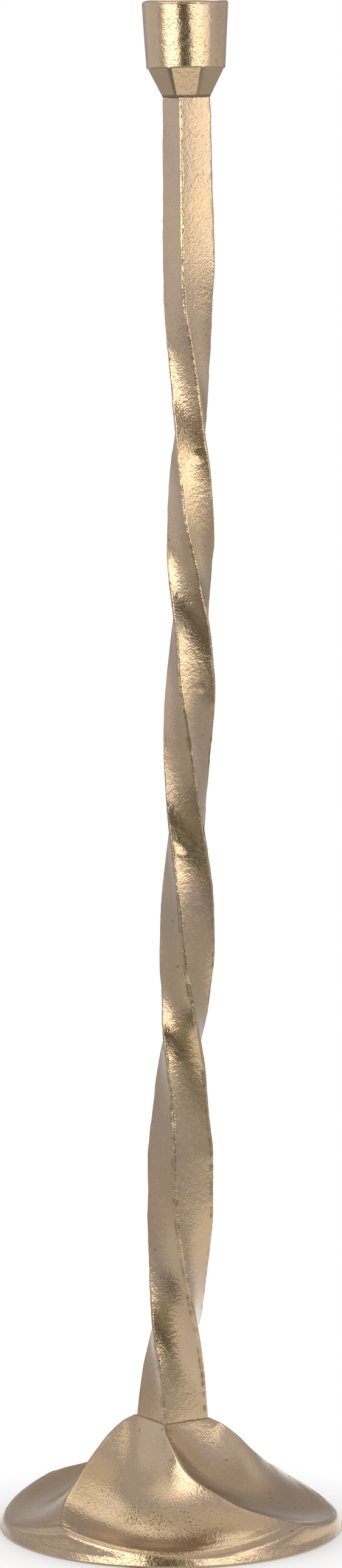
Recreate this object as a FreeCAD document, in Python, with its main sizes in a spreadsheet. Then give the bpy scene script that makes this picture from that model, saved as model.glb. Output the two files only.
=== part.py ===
import FreeCAD, Part
import math
import os
import Sketcher
from FreeCAD import Vector

# Spiral candle holder, millimetres, +Z up, origin on the table under the middle of the foot

doc = FreeCAD.newDocument("spiral_candle_holder")

# Driving dimensions

SIZES = [
    # Foot: round casting with four ridges that swirl out of a square seat
    ("foot_diameter", 120.0),
    ("foot_height", 38.5),
    ("rim_height", 3.5),
    ("seat_side", 19.4),
    ("seat_turn", -12.0),
    ("seat_offset", 0.55),
    ("foot_swirl", 67.0),
    ("foot_wall", 3.2),
    ("rim_land", 11.5),
    ("boss_diameter", 22.0),
    ("boss_base", 12.5),
    # Felt pads, let into the underside of the rim
    ("pad_diameter", 9.0),
    ("pad_thickness", 1.6),
    ("pad_recess", 1.1),
    ("pad_fit", 0.2),
    ("pad_edge", 6.0),
    ("pad_count", 4),
    # Stem: twisted square bar, thicker at the foot, that leans and bows a little
    ("stem_length", 458.0),
    ("stem_side", 18.6),
    ("stem_twist", 452.5),
    ("stem_lean", 4.7),
    ("stem_bow", 3.2),
    ("stem_corner_chamfer", 0.8),
    ("stem_face_hollow", 0.35),
    ("stem_sections", 28),
    # Candle cup: tapered cup on an eight-sided neck
    ("cup_height", 32.5),
    ("cup_rim_diameter", 29.6),
    ("cup_shoulder_diameter", 26.9),
    ("neck_height", 10.0),
    ("neck_top_flats", 25.9),
    ("neck_base_flats", 15.8),
    ("neck_base_diameter", 17.2),
    ("neck_sides", 8),
    ("candle_diameter", 22.0),
    ("candle_clearance", 0.5),
    ("floor_rise", 0.5),
    ("mouth_chamfer", 0.7),
    # Countersunk screw through the cup's floor
    ("screw_diameter", 5.0),
    ("screw_head_diameter", 9.8),
    ("screw_engagement", 14.8),
    ("screw_sink", 0.3),
    ("socket_width", 3.0),
    ("socket_depth", 1.9),
    ("screw_clearance", 0.4),
    # Hexagon bolt from below, with its two washers
    ("bolt_diameter", 8.0),
    ("bolt_engagement", 20.4),
    ("bolt_head_width", 13.0),
    ("bolt_head_height", 5.3),
    ("bolt_clearance", 0.8),
    ("flat_washer_diameter", 16.0),
    ("flat_washer_thickness", 1.6),
    ("spring_washer_diameter", 13.4),
    ("spring_washer_thickness", 2.0),
    ("spring_washer_split", 1.4),
    # Shared by both threads and by all cuts
    ("thread_allowance", 0.2),
    ("thread_runout", 3.0),
    ("overrun", 2.0),
]

sheet = doc.addObject("Spreadsheet::Sheet", "Sizes")
for row, (name, value) in enumerate(SIZES, start=1):
    sheet.set("A%d" % row, name)
    sheet.set("B%d" % row, str(value))
    sheet.setAlias("B%d" % row, name)
doc.recompute()


def size(name):
    """Value of one named size."""
    return float(sheet.get(name))


# Heights and places that several pieces share, worked out from the sizes

LIFT = "(Sizes.pad_thickness - Sizes.pad_recess)"
SEAT_Z = "(%s + Sizes.foot_height)" % LIFT
STEM_TOP_Z = "(%s + Sizes.stem_length)" % SEAT_Z
CUP_TILT = "atan((Sizes.stem_lean - 4 * Sizes.stem_bow) / Sizes.stem_length)"
FLOOR_HEIGHT = "(Sizes.neck_height + Sizes.floor_rise)"
SCREW_TOP = "(%s - Sizes.screw_sink)" % FLOOR_HEIGHT
SCREW_LENGTH = "(%s + Sizes.screw_engagement)" % SCREW_TOP
BOSS_Z = "(%s + Sizes.boss_base)" % LIFT
HEAD_TOP_Z = "(%s - Sizes.flat_washer_thickness - Sizes.spring_washer_thickness)" % BOSS_Z
BOLT_LENGTH = "(%s - %s + Sizes.bolt_engagement)" % (SEAT_Z, HEAD_TOP_Z)

# The stem's shape at shares of its length, from the foot upwards

STEM_HEIGHT_SHARES = [
    0, 0.03, 0.07, 0.11, 0.15, 0.2, 0.24, 0.28, 0.32, 0.36, 0.4, 0.44, 0.48,
    0.52, 0.56, 0.6, 0.64, 0.68, 0.72, 0.76, 0.8, 0.84, 0.88, 0.94, 1,
]
STEM_SIDE_SHARES = [
    1, 0.922, 0.869, 0.835, 0.895, 0.915, 0.793, 0.729, 0.684, 0.763, 0.75, 0.68, 0.639,
    0.671, 0.723, 0.672, 0.631, 0.649, 0.629, 0.551, 0.575, 0.656, 0.723, 0.692, 0.667,
]
STEM_TURN_SHARES = [
    0, 0.018, 0.076, 0.132, 0.178, 0.195, 0.209, 0.254, 0.333, 0.385, 0.413, 0.458, 0.508,
    0.561, 0.62, 0.655, 0.711, 0.789, 0.829, 0.881, 0.933, 0.984, 1, 1, 1,
]
STEM_SWAY_SHARES = [
    0, -0.07, 0.01, 0.05, 0.09, -0.06, -0.2, -0.2, 0.05, 0.12, 0.07, -0.05, -0.22,
    -0.13, 0.12, 0.16, -0.03, 0.08, 0.03, 0.03, -0.03, -0.08, 0.02, 0, 0,
]

# The foot's shape at shares of the way from its seat out to its rim

FOOT_REACH_SHARES = [0, 0.08, 0.18, 0.32, 0.48, 0.64, 0.78, 0.9, 0.96, 0.986, 1]
FOOT_RIDGE_SHARES = [1, 0.945, 0.83, 0.628, 0.452, 0.333, 0.255, 0.197, 0.168, 0.12, 0]
FOOT_VALLEY_SHARES = [1, 0.785, 0.577, 0.39, 0.236, 0.124, 0.066, 0.045, 0.034, 0.02, 0]
FOOT_SWIRL_SHARES = [0, 0.06, 0.17, 0.322, 0.53, 0.665, 0.785, 0.885, 0.933, 0.971, 1]
HOLLOW_REACH_SHARES = [0.7, 0.4, 0.16]
FOOT_RIDGES = 4
POINTS_PER_VALLEY = 8
SHOULDER_RINGS = 2


def blend_share(places, shares, place):
    """Smooth curve through a table of shares, read at one place."""
    last = len(places) - 2
    i = min(max(k for k in range(len(places)) if places[k] <= place), last)
    steps = [b - a for a, b in zip(places, places[1:])]
    rises = [(b - a) / step for a, b, step in zip(shares, shares[1:], steps)]

    def slope(k):
        if k == 0:
            return rises[0]
        if k == len(places) - 1:
            return rises[-1]
        if rises[k - 1] * rises[k] <= 0:
            return 0.0
        return (rises[k - 1] * steps[k] + rises[k] * steps[k - 1]) / (steps[k] + steps[k - 1])

    u = (place - places[i]) / steps[i]
    start = (1 + 2 * u) * (1 - u) ** 2 * shares[i]
    end = u * u * (3 - 2 * u) * shares[i + 1]
    leave = u * (1 - u) ** 2 * steps[i] * slope(i)
    arrive = u * u * (u - 1) * steps[i] * slope(i + 1)
    return start + end + leave + arrive


def polygon_sketch(sketch, corners):
    """Closed outline with each corner's two coordinates bound to expressions."""
    points = []
    for x, y in corners:
        points.append(Vector(float(sheet.evalExpression(x)), float(sheet.evalExpression(y)), 0))
    count = len(points)
    for k in range(count):
        sketch.addGeometry(Part.LineSegment(points[k], points[(k + 1) % count]), False)
    for k in range(count):
        sketch.addConstraint(Sketcher.Constraint("Coincident", k, 2, (k + 1) % count, 1))
    for k, (x, y) in enumerate(corners):
        for kind, axis, text, value in (("DistanceX", -2, x, points[k].x), ("DistanceY", -1, y, points[k].y)):
            if text == "0":
                sketch.addConstraint(Sketcher.Constraint("PointOnObject", k, 1, axis))
            else:
                number = sketch.addConstraint(Sketcher.Constraint(kind, -1, 1, k, 1, value))
                sketch.setExpression("Constraints[%d]" % number, text)


def body_plane(body, role):
    """One of a body's own origin planes or axes."""
    return next(item for item in body.Origin.OriginFeatures if item.Role == role)


def body_sketch(body, name, role, corners):
    """Outline on one of a body's origin planes."""
    sketch = body.newObject("Sketcher::SketchObject", name)
    sketch.AttachmentSupport = [(body_plane(body, role), "")]
    sketch.MapMode = "FlatFace"
    polygon_sketch(sketch, corners)
    return sketch


def bind(item, **expressions):
    """Bind properties of an object to expressions."""
    for name, text in expressions.items():
        item.setExpression(name, text)
    return item


def place(item, x, y, z, turn="0", axis="0; 0; 1"):
    """Bind a placement to expressions."""
    text = "placement(vector(%s; %s; %s); rotation(vector(%s); %s))" % (x, y, z, axis, turn)
    item.setExpression("Placement", text)
    return item


def place_on_stem(item, height):
    """Place an object on the stem's top, at a height along the cup's axis."""
    x = "Sizes.seat_offset + Sizes.stem_lean + %s * sin(%s)" % (height, CUP_TILT)
    z = "%s + %s * cos(%s)" % (STEM_TOP_Z, height, CUP_TILT)
    return place(item, x, "0", z, CUP_TILT, "0; 1; 0")


def cylinder(name, radius, height):
    return bind(doc.addObject("Part::Cylinder", name), Radius=radius, Height=height)


def hexagon(name, width, height):
    """Hexagonal prism, given its width across the flats."""
    prism = doc.addObject("Part::Prism", name)
    prism.Polygon = 6
    return bind(prism, Circumradius="%s / 2 / cos(30 deg)" % width, Height=height)


def cut(name, base, *tools):
    """Base with each tool taken away in turn; the last cut carries the name."""
    result = base
    for number, tool in enumerate(tools, start=1):
        last = number == len(tools)
        step = doc.addObject("Part::Cut", name if last else "%s_cut_%d" % (name, number))
        step.Base = result
        step.Tool = tool
        result = step
    return result


def fuse(name, *pieces):
    result = doc.addObject("Part::MultiFuse", name)
    result.Shapes = list(pieces)
    return result


# Stem

def stem_centre(height_share):
    """Middle of the bar at a share of its length: it leans, bows like a long arc and sways a little."""
    sway = blend_share(STEM_HEIGHT_SHARES, STEM_SWAY_SHARES, height_share)
    bow = size("stem_bow") * (4 * height_share * (1 - height_share) + sway)
    x = size("seat_offset") + size("stem_lean") * height_share + bow
    seat = size("pad_thickness") - size("pad_recess") + size("foot_height")
    return Vector(x, 0, seat + size("stem_length") * height_share)


def stem_section(height_share):
    """Square with broken corners and slightly hollow faces, turned as far as the twist has come."""
    side = size("stem_side") * blend_share(STEM_HEIGHT_SHARES, STEM_SIDE_SHARES, height_share)
    turn_share = blend_share(STEM_HEIGHT_SHARES, STEM_TURN_SHARES, height_share)
    turn = size("seat_turn") - size("stem_twist") * turn_share
    half = side / 2
    flat = half - size("stem_corner_chamfer")
    hollow = 2 * size("stem_face_hollow") * side / size("stem_side")
    edges = []
    for k in range(4):
        spin = FreeCAD.Rotation(Vector(0, 0, 1), 90 * k + turn - 45)
        poles = [Vector(half, -flat, 0), Vector(half - hollow, 0, 0), Vector(half, flat, 0)]
        face = Part.BezierCurve()
        face.setPoles([spin.multVec(pole) for pole in poles])
        edges.append(face.toShape())
        corner = [poles[2], Vector(flat, half, 0)]
        edges.append(Part.LineSegment(*[spin.multVec(point) for point in corner]).toShape())
    lean = size("stem_lean") - 4 * size("stem_bow")
    tilt = math.degrees(math.atan(lean / size("stem_length"))) * height_share
    wire = Part.Wire(edges)
    wire.Placement = FreeCAD.Placement(stem_centre(height_share), FreeCAD.Rotation(Vector(0, 1, 0), tilt))
    return wire


def make_stem():
    count = int(size("stem_sections"))
    bar = doc.addObject("Part::Feature", "stem_bar")
    bar.Shape = Part.makeLoft([stem_section(k / (count - 1)) for k in range(count)], True)
    depth = "(Sizes.screw_engagement + Sizes.thread_runout)"
    top_hole = cylinder("stem_top_hole", "(Sizes.screw_diameter + Sizes.thread_allowance) / 2",
                        "%s + Sizes.overrun" % depth)
    place_on_stem(top_hole, "(0 - %s)" % depth)
    foot_hole = cylinder("stem_foot_hole", "(Sizes.bolt_diameter + Sizes.thread_allowance) / 2",
                         "Sizes.bolt_engagement + Sizes.thread_runout + Sizes.overrun")
    place(foot_hole, "Sizes.seat_offset", "0", "%s - Sizes.overrun" % SEAT_Z)
    return cut("twisted_stem", bar, top_hole, foot_hole)


# Foot

def foot_point(reach_share, valley_share):
    """Point on the swirling top, at a share of the way out and of the way from ridge to ridge."""
    rim = size("foot_diameter") / 2
    seat = size("seat_side") / 2
    corner = seat * math.sqrt(2)
    ridge_radius = corner + (rim - corner) * reach_share
    valley_radius = seat + (rim - seat) * reach_share
    square = (1 / math.cos(math.radians(90 * (valley_share - 0.5))) - 1) / (math.sqrt(2) - 1)
    radius = valley_radius + (ridge_radius - valley_radius) * square
    ridge = blend_share(FOOT_REACH_SHARES, FOOT_RIDGE_SHARES, reach_share)
    valley = blend_share(FOOT_REACH_SHARES, FOOT_VALLEY_SHARES, reach_share)
    climb = valley + (ridge - valley) * abs(2 * valley_share - 1) ** 2
    height = size("rim_height") + (size("foot_height") - size("rim_height")) * climb
    swirl = size("foot_swirl") * blend_share(FOOT_REACH_SHARES, FOOT_SWIRL_SHARES, reach_share)
    angle = math.radians(size("seat_turn") + swirl + 90 * valley_share)
    return Vector(radius * math.cos(angle), radius * math.sin(angle), height)


def foot_ring(reach_share):
    """Closed outline through four valleys, with a corner on each ridge."""
    shares = [step / POINTS_PER_VALLEY for step in range(POINTS_PER_VALLEY + 1)]
    shift = Vector(size("seat_offset") * (1 - reach_share), 0, 0)
    edges = []
    for k in range(FOOT_RIDGES):
        spin = FreeCAD.Rotation(Vector(0, 0, 1), 360 / FOOT_RIDGES * k)
        points = [spin.multVec(foot_point(reach_share, share)) + shift for share in shares]
        curve = Part.BSplineCurve()
        curve.interpolate(Points=points, Parameters=shares)
        edges.append(curve.toShape())
    return Part.Wire(edges)


def foot_shell():
    """Solid under the swirling top: smooth as far as the shoulder, then down to the upright rim."""
    rings = [foot_ring(reach) for reach in FOOT_REACH_SHARES]
    under = rings[-1].copy()
    under.translate(Vector(0, 0, -size("rim_height")))
    top = Part.makeLoft(rings[:-SHOULDER_RINGS], False)
    shoulder = Part.makeLoft(rings[-SHOULDER_RINGS - 1:] + [under], False, True)
    faces = top.Faces + shoulder.Faces + [Part.Face(rings[0]), Part.Face(under)]
    shell = Part.makeShell(faces)
    shell.sewShape()
    return Part.makeSolid(shell)


def foot_hollow_points():
    """Outline of the hollow under the foot, one wall below the valleys."""
    lift = size("pad_thickness") - size("pad_recess")
    rim = size("foot_diameter") / 2
    seat = size("seat_side") / 2
    boss = size("boss_diameter") / 2
    land = rim - size("rim_land")
    points = [Vector(boss, 0, lift - size("overrun")), Vector(land, 0, lift - size("overrun"))]
    for share in HOLLOW_REACH_SHARES:
        radius = seat + (rim - seat) * share
        valley = blend_share(FOOT_REACH_SHARES, FOOT_VALLEY_SHARES, share)
        height = size("rim_height") + (size("foot_height") - size("rim_height")) * valley
        points.append(Vector(radius - size("foot_wall") / 2, 0, lift + height - size("foot_wall")))
    points.insert(2, Vector(land, 0, points[2].z))
    points.append(Vector(boss, 0, points[-1].z))
    return points


def make_foot():
    casting = doc.addObject("Part::Feature", "foot_swirl_top")
    casting.Shape = foot_shell()
    place(casting, "0", "0", LIFT)
    hollow = doc.addObject("Part::Feature", "foot_hollow")
    points = foot_hollow_points()
    outline = Part.makePolygon(points + points[:1])
    hollow.Shape = Part.Face(outline).revolve(Vector(0, 0, 0), Vector(0, 0, 1), 360)
    boss_foot = cylinder("foot_boss_face", "Sizes.boss_diameter / 2", "%s + Sizes.overrun" % BOSS_Z)
    place(boss_foot, "0", "0", "0 - Sizes.overrun")
    bolt_hole = cylinder("foot_bolt_hole", "(Sizes.bolt_diameter + Sizes.bolt_clearance) / 2",
                         "%s + 2 * Sizes.overrun" % SEAT_Z)
    place(bolt_hole, "Sizes.seat_offset", "0", "0 - Sizes.overrun")
    recesses = pad_ring("pad_recess", "(Sizes.pad_diameter + Sizes.pad_fit) / 2",
                        "Sizes.pad_thickness + Sizes.overrun", "0 - Sizes.overrun")
    return cut("swirl_foot", casting, hollow, boss_foot, bolt_hole, recesses)


# Felt pads

def pad_ring(name, radius, height, z):
    """One disc under each swirl of the rim, as one group."""
    discs = []
    for k in range(int(size("pad_count"))):
        disc = cylinder("%s_%d" % (name, k + 1), radius, height)
        angle = "(360 deg * %d / Sizes.pad_count + Sizes.seat_turn * 1 deg)" % k
        reach = "(Sizes.foot_diameter / 2 - Sizes.pad_edge)"
        place(disc, "%s * cos(%s)" % (reach, angle), "%s * sin(%s)" % (reach, angle), z)
        discs.append(disc)
    group = doc.addObject("Part::Compound", name)
    group.Links = discs
    return group


def make_pads():
    return pad_ring("felt_pads", "Sizes.pad_diameter / 2", "Sizes.pad_thickness", "0")


# Candle cup

def make_cup():
    body = doc.addObject("PartDesign::Body", "candle_cup")
    bore = "(Sizes.candle_diameter + Sizes.candle_clearance) / 2"
    outline = body_sketch(body, "cup_outline", "XZ_Plane", [
        ("0", "0"),
        ("Sizes.neck_base_diameter / 2", "0"),
        ("Sizes.cup_shoulder_diameter / 2", "Sizes.neck_height"),
        ("Sizes.cup_rim_diameter / 2", "Sizes.cup_height"),
        (bore, "Sizes.cup_height"),
        (bore, FLOOR_HEIGHT),
        ("0", FLOOR_HEIGHT),
    ])
    wall = body.newObject("PartDesign::Revolution", "cup_wall")
    wall.Profile = outline
    wall.ReferenceAxis = (outline, ["V_Axis"])
    wall.Angle = 360
    doc.recompute()

    facet_slope = "((Sizes.neck_top_flats - Sizes.neck_base_flats) / 2 / Sizes.neck_height)"
    outside = "(Sizes.cup_shoulder_diameter / 2 + Sizes.overrun)"
    facet = body_sketch(body, "neck_facet", "XZ_Plane", [
        ("Sizes.neck_base_flats / 2 - %s * Sizes.overrun" % facet_slope, "0 - Sizes.overrun"),
        (outside, "0 - Sizes.overrun"),
        (outside, "Sizes.neck_height"),
        ("Sizes.neck_top_flats / 2", "Sizes.neck_height"),
    ])
    facet_cut = body.newObject("PartDesign::Pocket", "neck_facet_cut")
    facet_cut.Profile = facet
    facet_cut.Midplane = True
    facet_cut.setExpression("Length", "2 * Sizes.cup_shoulder_diameter")
    facets = body.newObject("PartDesign::PolarPattern", "neck_facets")
    facets.Originals = [facet_cut]
    facets.Axis = (body_plane(body, "Z_Axis"), [""])
    facets.Angle = 360
    facets.setExpression("Occurrences", "Sizes.neck_sides")
    body.Tip = facets
    doc.recompute()

    clear = "(Sizes.screw_diameter + Sizes.screw_clearance) / 2"
    margin = "Sizes.screw_sink / 2"
    countersink = body_sketch(body, "screw_seat", "XZ_Plane", [
        ("0", "0 - Sizes.overrun"),
        (clear, "0 - Sizes.overrun"),
        (clear, "%s - Sizes.screw_head_diameter / 2 + %s" % (SCREW_TOP, clear)),
        ("Sizes.screw_head_diameter / 2 + %s" % margin, "%s + %s" % (SCREW_TOP, margin)),
        ("Sizes.screw_head_diameter / 2 + %s" % margin, "%s + Sizes.overrun" % FLOOR_HEIGHT),
        ("0", "%s + Sizes.overrun" % FLOOR_HEIGHT),
    ])
    hole = body.newObject("PartDesign::Groove", "screw_hole")
    hole.Profile = countersink
    hole.ReferenceAxis = (countersink, ["V_Axis"])
    hole.Angle = 360
    doc.recompute()

    top = size("cup_height")
    mouth_edges = []
    for number, edge in enumerate(hole.Shape.Edges, start=1):
        if all(abs(vertex.Z - top) < Part.Precision.confusion() * 10 for vertex in edge.Vertexes):
            mouth_edges.append("Edge%d" % number)
    mouth = body.newObject("PartDesign::Chamfer", "mouth_edges")
    mouth.Base = (hole, mouth_edges)
    mouth.setExpression("Size", "Sizes.mouth_chamfer")
    return place_on_stem(body, "0")


# Fasteners

def make_cup_screw():
    """Countersunk socket screw, its head just below the cup's floor."""
    head_height = "(Sizes.screw_head_diameter - Sizes.screw_diameter) / 2"
    head = doc.addObject("Part::Cone", "screw_head")
    bind(head, Radius1="Sizes.screw_diameter / 2", Radius2="Sizes.screw_head_diameter / 2", Height=head_height)
    place_on_stem(head, "(%s - %s)" % (SCREW_TOP, head_height))
    shank = cylinder("screw_shank", "Sizes.screw_diameter / 2", "%s - %s" % (SCREW_LENGTH, head_height))
    place_on_stem(shank, "(%s - %s)" % (SCREW_TOP, SCREW_LENGTH))
    socket = hexagon("screw_socket", "Sizes.socket_width", "Sizes.socket_depth + Sizes.overrun")
    place_on_stem(socket, "(%s - Sizes.socket_depth)" % SCREW_TOP)
    return cut("cup_screw", fuse("screw_solid", head, shank), socket)


def make_foot_bolt():
    head = hexagon("bolt_head", "Sizes.bolt_head_width", "Sizes.bolt_head_height")
    place(head, "Sizes.seat_offset", "0", "%s - Sizes.bolt_head_height" % HEAD_TOP_Z)
    shank = cylinder("bolt_shank", "Sizes.bolt_diameter / 2", BOLT_LENGTH)
    place(shank, "Sizes.seat_offset", "0", HEAD_TOP_Z)
    return fuse("foot_bolt", head, shank)


def washer(name, diameter, thickness, z):
    """Ring with the bolt's clearance hole."""
    disc = cylinder("%s_disc" % name, "%s / 2" % diameter, thickness)
    place(disc, "Sizes.seat_offset", "0", z)
    hole = cylinder("%s_hole" % name, "(Sizes.bolt_diameter + Sizes.bolt_clearance / 2) / 2",
                    "%s + 2 * Sizes.overrun" % thickness)
    place(hole, "Sizes.seat_offset", "0", "%s - Sizes.overrun" % z)
    return disc, hole


def make_flat_washer():
    z = "(%s - Sizes.flat_washer_thickness)" % BOSS_Z
    return cut("flat_washer", *washer("flat", "Sizes.flat_washer_diameter", "Sizes.flat_washer_thickness", z))


def make_spring_washer():
    """Ring with a split, shown clamped flat."""
    disc, hole = washer("spring", "Sizes.spring_washer_diameter", "Sizes.spring_washer_thickness", HEAD_TOP_Z)
    split = doc.addObject("Part::Box", "spring_split")
    bind(split, Length="Sizes.spring_washer_diameter", Width="Sizes.spring_washer_split",
         Height="Sizes.spring_washer_thickness + 2 * Sizes.overrun")
    place(split, "Sizes.seat_offset", "0 - Sizes.spring_washer_split / 2", "%s - Sizes.overrun" % HEAD_TOP_Z)
    return cut("spring_washer", disc, hole, split)


# Build, check and write

pieces = [
    make_foot(),
    make_stem(),
    make_cup(),
    make_cup_screw(),
    make_foot_bolt(),
    make_spring_washer(),
    make_flat_washer(),
    make_pads(),
]
doc.recompute()

for item in doc.Objects:
    if "Invalid" in item.State or "Error" in item.State:
        raise RuntimeError("%s did not build: %s" % (item.Label, item.State))
for piece in pieces:
    if piece.Shape.isNull() or not piece.Shape.isValid():
        raise RuntimeError("%s has no valid shape" % piece.Label)

os.makedirs("parts", exist_ok=True)
for piece in pieces:
    piece.Shape.exportStep("parts/%s.step" % piece.Label)
    box = piece.Shape.BoundBox
    print("%-14s solids %d  volume %9.1f  z %.2f to %.2f" % (
        piece.Label, len(piece.Shape.Solids), piece.Shape.Volume, box.ZMin, box.ZMax))
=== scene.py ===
import math

import bpy
import numpy as np
from mathutils import Matrix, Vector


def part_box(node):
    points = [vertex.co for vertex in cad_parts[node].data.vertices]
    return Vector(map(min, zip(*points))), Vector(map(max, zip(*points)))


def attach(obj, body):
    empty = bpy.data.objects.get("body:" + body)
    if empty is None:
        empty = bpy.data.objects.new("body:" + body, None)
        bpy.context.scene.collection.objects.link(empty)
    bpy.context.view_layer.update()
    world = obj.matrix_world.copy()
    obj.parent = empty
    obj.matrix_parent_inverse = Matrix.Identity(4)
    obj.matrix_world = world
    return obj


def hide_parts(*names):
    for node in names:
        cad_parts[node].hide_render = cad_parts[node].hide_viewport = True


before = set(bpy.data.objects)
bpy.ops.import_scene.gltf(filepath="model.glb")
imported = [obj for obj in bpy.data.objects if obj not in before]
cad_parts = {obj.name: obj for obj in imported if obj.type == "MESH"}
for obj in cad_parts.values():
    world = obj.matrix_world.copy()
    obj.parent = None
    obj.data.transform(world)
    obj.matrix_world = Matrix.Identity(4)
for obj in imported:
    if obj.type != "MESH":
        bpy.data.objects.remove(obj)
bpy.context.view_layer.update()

# Spiral candle holder, metres, +Z up, origin on the table under the middle of the foot.
# Every size is written in millimetres times MM.

MM = 0.001

# The photograph's frame and the camera that took it

PHOTO_SIZE = (562, 2576)
CAMERA_PLACE = (0, -1.8, 0.46071)
CAMERA_TURN = math.radians(83.694)
LENS_MM = 120.3
SENSOR_MM = 36

# Sizes of the castings, as the solids have them

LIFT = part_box("swirl_foot")[0].z
SEAT_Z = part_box("swirl_foot")[1].z
FOOT_RADIUS = 60 * MM
FOOT_HEIGHT = SEAT_Z - LIFT
RIM_HEIGHT = 3.5 * MM
SEAT_SIDE = 19.4 * MM
SEAT_TURN = math.radians(-12)
SEAT_OFFSET = 0.55 * MM
FOOT_SWIRL = math.radians(67)
FOOT_WALL = 3.2 * MM
RIM_LAND = 11.5 * MM
BOSS_RADIUS = 11 * MM
BOSS_Z = LIFT + 12.5 * MM
BOLT_HOLE_RADIUS = 4.4 * MM

STEM_LENGTH = 458 * MM
STEM_SIDE = 18.6 * MM
STEM_TWIST = math.radians(452.5)
STEM_LEAN = 4.7 * MM
STEM_BOW = 3.2 * MM
STEM_CORNER = 0.8 * MM
STEM_HOLLOW = 0.35 * MM

CUP_HEIGHT = 32.5 * MM
CUP_RIM_RADIUS = 14.8 * MM
CUP_SHOULDER_RADIUS = 13.45 * MM
NECK_HEIGHT = 10 * MM
NECK_TOP_FLAT = 12.95 * MM
NECK_BASE_FLAT = 7.9 * MM
NECK_BASE_RADIUS = 8.6 * MM
NECK_SIDES = 8
BORE_RADIUS = 11.25 * MM
CUP_FLOOR = 10.5 * MM
SCREW_HEAD_RADIUS = 4.9 * MM
SCREW_SINK = 0.3 * MM
SCREW_HOLE_RADIUS = 2.7 * MM
CUP_TILT = math.atan((STEM_LEAN - 4 * STEM_BOW) / STEM_LENGTH)

# The stem's shape at shares of its length, from the foot upwards

STEM_HEIGHT_SHARES = [
    0, 0.03, 0.07, 0.11, 0.15, 0.2, 0.24, 0.28, 0.32, 0.36, 0.4, 0.44, 0.48,
    0.52, 0.56, 0.6, 0.64, 0.68, 0.72, 0.76, 0.8, 0.84, 0.88, 0.94, 1,
]
STEM_SIDE_SHARES = [
    1, 0.922, 0.869, 0.835, 0.895, 0.915, 0.793, 0.729, 0.684, 0.763, 0.75, 0.68, 0.639,
    0.671, 0.723, 0.672, 0.631, 0.649, 0.629, 0.551, 0.575, 0.656, 0.723, 0.692, 0.667,
]
STEM_TURN_SHARES = [
    0, 0.018, 0.076, 0.132, 0.178, 0.195, 0.209, 0.254, 0.333, 0.385, 0.413, 0.458, 0.508,
    0.561, 0.62, 0.655, 0.711, 0.789, 0.829, 0.881, 0.933, 0.984, 1, 1, 1,
]
STEM_SWAY_SHARES = [
    0, -0.07, 0.01, 0.05, 0.09, -0.06, -0.2, -0.2, 0.05, 0.12, 0.07, -0.05, -0.22,
    -0.13, 0.12, 0.16, -0.03, 0.08, 0.03, 0.03, -0.03, -0.08, 0.02, 0, 0,
]

# The foot's shape at shares of the way from its seat out to its rim

FOOT_REACH_SHARES = [0, 0.08, 0.18, 0.32, 0.48, 0.64, 0.78, 0.9, 0.96, 0.986, 1]
FOOT_RIDGE_SHARES = [1, 0.945, 0.83, 0.628, 0.452, 0.333, 0.255, 0.197, 0.168, 0.12, 0]
FOOT_VALLEY_SHARES = [1, 0.785, 0.577, 0.39, 0.236, 0.124, 0.066, 0.045, 0.034, 0.02, 0]
FOOT_SWIRL_SHARES = [0, 0.06, 0.17, 0.322, 0.53, 0.665, 0.785, 0.885, 0.933, 0.971, 1]
HOLLOW_REACH_SHARES = [0.7, 0.4, 0.16]


def blend_share(places, shares, at):
    """Smooth curve through a table of shares, read at many places at once."""
    places, shares, at = np.array(places, float), np.array(shares, float), np.asarray(at, float)
    steps = np.diff(places)
    rises = np.diff(shares) / steps
    slopes = np.empty(len(places))
    slopes[0], slopes[-1] = rises[0], rises[-1]
    between = (rises[:-1] * steps[1:] + rises[1:] * steps[:-1]) / (steps[1:] + steps[:-1])
    slopes[1:-1] = np.where(rises[:-1] * rises[1:] > 0, between, 0)
    i = np.clip(np.searchsorted(places, at, side="right") - 1, 0, len(steps) - 1)
    u = (at - places[i]) / steps[i]
    level = (1 + 2 * u) * (1 - u) ** 2 * shares[i] + u * u * (3 - 2 * u) * shares[i + 1]
    return level + steps[i] * (u * (1 - u) ** 2 * slopes[i] + u * u * (u - 1) * slopes[i + 1])


def smooth_step(low, high, at):
    u = np.clip((at - low) / (high - low), 0, 1)
    return u * u * (3 - 2 * u)


def noise(points, wavelength, seed):
    """Smooth random bumps from about -1 to 1, a wavelength apart, the same each run."""
    at = points / np.asarray(wavelength) + seed * 17.31
    cell = np.floor(at).astype(np.int64)
    part = at - cell
    fade = part ** 3 * (part * (part * 6 - 15) + 10)
    total = np.zeros(at.shape[:-1])
    for corner in np.ndindex(2, 2, 2):
        place = cell + corner
        code = place[..., 0] * 73856093 ^ place[..., 1] * 19349663 ^ place[..., 2] * 83492791
        code = (code & 0xFFFFFFFF) * 1274126177 & 0xFFFFFFFF
        code = (code ^ code >> 15) * 2246822519 & 0xFFFFFFFF
        slope = np.stack([(code >> shift & 1023) / 511.5 - 1 for shift in (0, 10, 20)], -1)
        share = np.prod(np.where(corner, fade, 1 - fade), axis=-1)
        total += share * np.sum(slope * (part - corner), axis=-1)
    return total * 1.6


def layered(points, layers, seed, level=0.0):
    """A level with smooth bumps on it, each layer given by its wavelength and height."""
    for number, (wavelength, height) in enumerate(layers):
        level = level + noise(points, wavelength, seed + number) * height
    return level


# Photograph frame

def photo_place(points):
    """Pixel of the photograph at which the camera sees each point."""
    away = points - np.array(CAMERA_PLACE)
    depth = away[..., 1] * math.sin(CAMERA_TURN) - away[..., 2] * math.cos(CAMERA_TURN)
    rise = away[..., 1] * math.cos(CAMERA_TURN) + away[..., 2] * math.sin(CAMERA_TURN)
    scale = LENS_MM / SENSOR_MM * PHOTO_SIZE[1] / depth
    return np.stack([PHOTO_SIZE[0] / 2 + away[..., 0] * scale, PHOTO_SIZE[1] / 2 - rise * scale], -1)


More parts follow.
